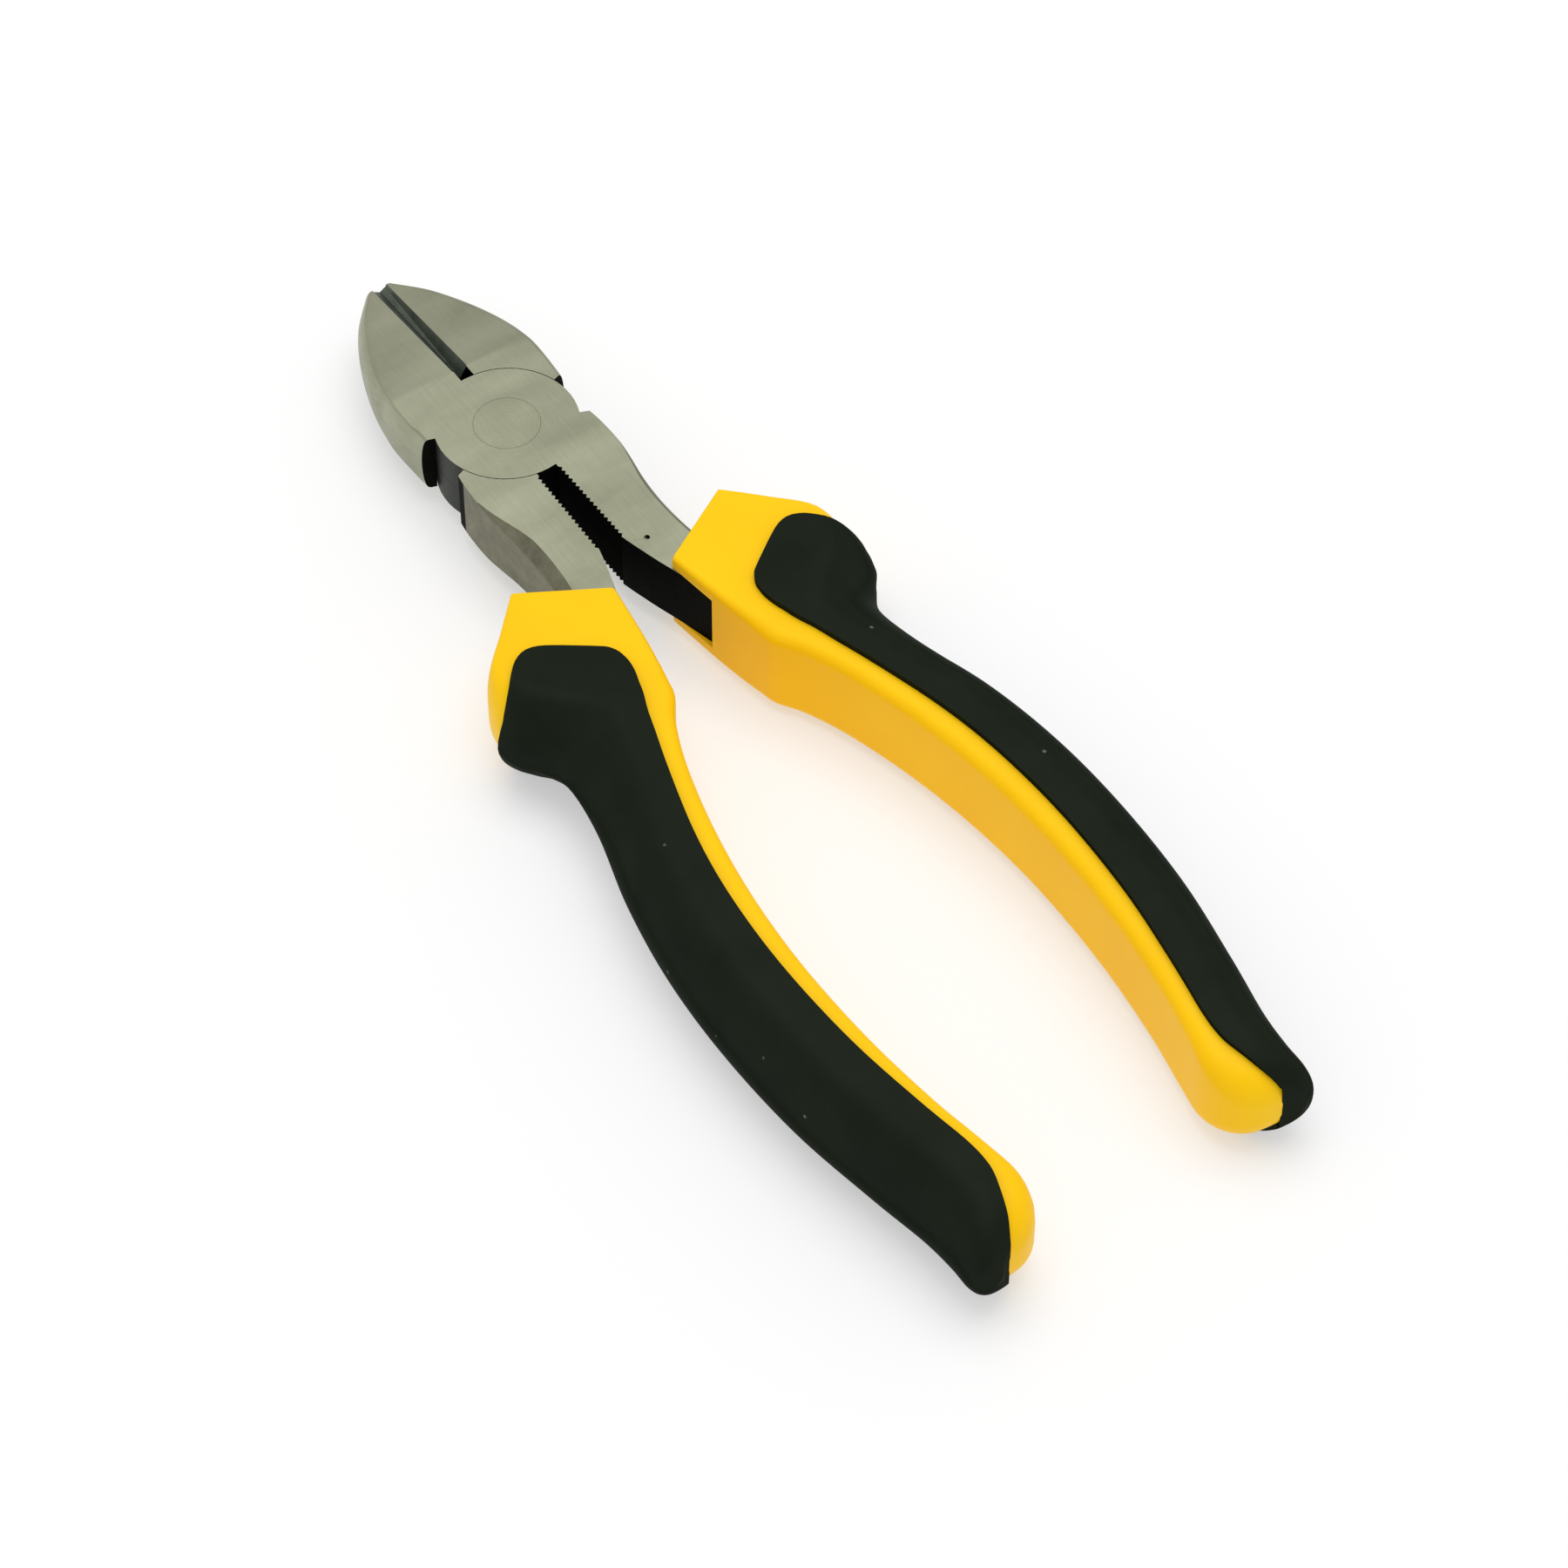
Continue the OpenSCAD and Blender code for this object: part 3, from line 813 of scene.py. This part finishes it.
# %% Finish both grips
CORE_RIM = 0.25 * MM
CORE_RIM_ANGLE = 40
COVER_RIM = 0.3 * MM
COVER_RIM_ANGLE = 50
half_turn = Matrix.Rotation(math.pi, 4, "X")
to_middle = Matrix.Translation((0, 0, MIDDLE))
turned_over = to_middle @ half_turn @ to_middle.inverted()


def turned_copy(piece, name):
    """The same body for the other half of the tool."""
    copy = piece.copy()
    copy.data = piece.data.copy()
    copy.name = copy.data.name = name
    copy.data.transform(turned_over)
    bpy.context.scene.collection.objects.link(copy)
    return copy


def finish_grip(piece, side, part, material, rim, angle):
    """Gives a grip piece its material, its rounded edges and its place in the tool."""
    piece.data.materials.clear()
    piece.data.materials.append(material)
    break_edges(piece, rim, angle)
    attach(piece, f"{side}_half")
    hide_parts(f"{side}_grip_{part}")


right_core = turned_copy(left_core, "right_hard_core")
right_cover = turned_copy(left_cover, "right_soft_cover")
for side, core, cover in (("left", left_core, left_cover), ("right", right_core, right_cover)):
    finish_grip(core, side, "core", hard_yellow, CORE_RIM, CORE_RIM_ANGLE)
    finish_grip(cover, side, "cover", soft_black, COVER_RIM, COVER_RIM_ANGLE)
    print(side, "grip:", core.name, "and", cover.name)

# %% [markdown]
# ## Table and light
#
# The tool lies on a plain pale table. The table is a single square of matt white paper that glows
# a little of itself, so that it stays white up to the foot of the grips. It is staging only, and
# no part of the tool.

# %% Table
TABLE_HALF = 3
TABLE_GAP = 0.02 * MM
lowest = min(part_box(node)[0].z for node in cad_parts)
bm = bmesh.new()
bmesh.ops.create_grid(bm, x_segments=1, y_segments=1, size=TABLE_HALF)
bmesh.ops.translate(bm, verts=bm.verts, vec=(0, 0, lowest - TABLE_GAP))
table_top = new_piece("table_top", bm)
# Matt paper: no highlight at all, so only the soft shadow shows where the tool stands.
paper, _, paper_shader, _ = new_material("paper_white_matt")
paper_shader.inputs["Base Color"].default_value = linear("#C0C0C0")
paper_shader.inputs["Roughness"].default_value = 0.9
paper_shader.inputs["Specular IOR Level"].default_value = 0.1
paper_shader.inputs["Emission Color"].default_value = linear("#FFFFFF")
paper_shader.inputs["Emission Strength"].default_value = 0.45
table_top.data.materials.append(paper)
print(f"table {(lowest - TABLE_GAP) / MM:.2f} mm below the joint's lower face")

# %% [markdown]
# Steel shows what is round it. In an even white room it turns flat, and under a small lamp it
# glints, so the room is a dim white and one big softbox hangs overhead, a little towards the jaws.

# %% Lights
ROOM_LIGHT = 0.7
SOFTBOX_AT = (0.02, -0.1, 0.9)
SOFTBOX_SIZE = 0.8
SOFTBOX_WATTS = 3.9
SOFTBOX_AIM = Vector((-0.04, 0, 0))
world = bpy.data.worlds.new("white_room")
bpy.context.scene.world = world
world.use_nodes = True
world.node_tree.nodes["Background"].inputs["Color"].default_value = linear("#FFFFFF")
world.node_tree.nodes["Background"].inputs["Strength"].default_value = ROOM_LIGHT

lamp = bpy.data.lights.new("overhead_softbox", "AREA")
lamp.shape = "SQUARE"
lamp.size = SOFTBOX_SIZE
lamp.energy = SOFTBOX_WATTS
softbox = bpy.data.objects.new("overhead_softbox", lamp)
softbox.location = SOFTBOX_AT
softbox.rotation_euler = (SOFTBOX_AIM - Vector(SOFTBOX_AT)).to_track_quat("-Z", "Y").to_euler()
bpy.context.scene.collection.objects.link(softbox)
print("softbox", SOFTBOX_SIZE, "m across,", SOFTBOX_AT[2], "m up")

# %% [markdown]
# ## Camera
#
# The camera stands behind the left handle and looks down over it to the jaws. A long lens at
# seven tenths of a metre keeps the two grips nearly the same size, as in a catalogue picture.

# %% Camera
CAMERA_AT = Vector((-406.2, 234.8, 530.75)) * MM
LOOKS_ALONG = Vector((0.5144, -0.3475, -0.7840))
LENS_MM = 135.72
lens = bpy.data.cameras.new("camera")
lens.lens = LENS_MM
lens.sensor_width = 36
lens.clip_start = 0.01
camera = bpy.data.objects.new("camera", lens)
camera.location = CAMERA_AT
camera.rotation_euler = LOOKS_ALONG.to_track_quat("-Z", "Y").to_euler()
bpy.context.scene.collection.objects.link(camera)
bpy.context.scene.camera = camera
bpy.context.scene.view_settings.view_transform = "Standard"
print(f"camera {CAMERA_AT.length:.2f} m from the joint, {LENS_MM:.0f} mm lens")
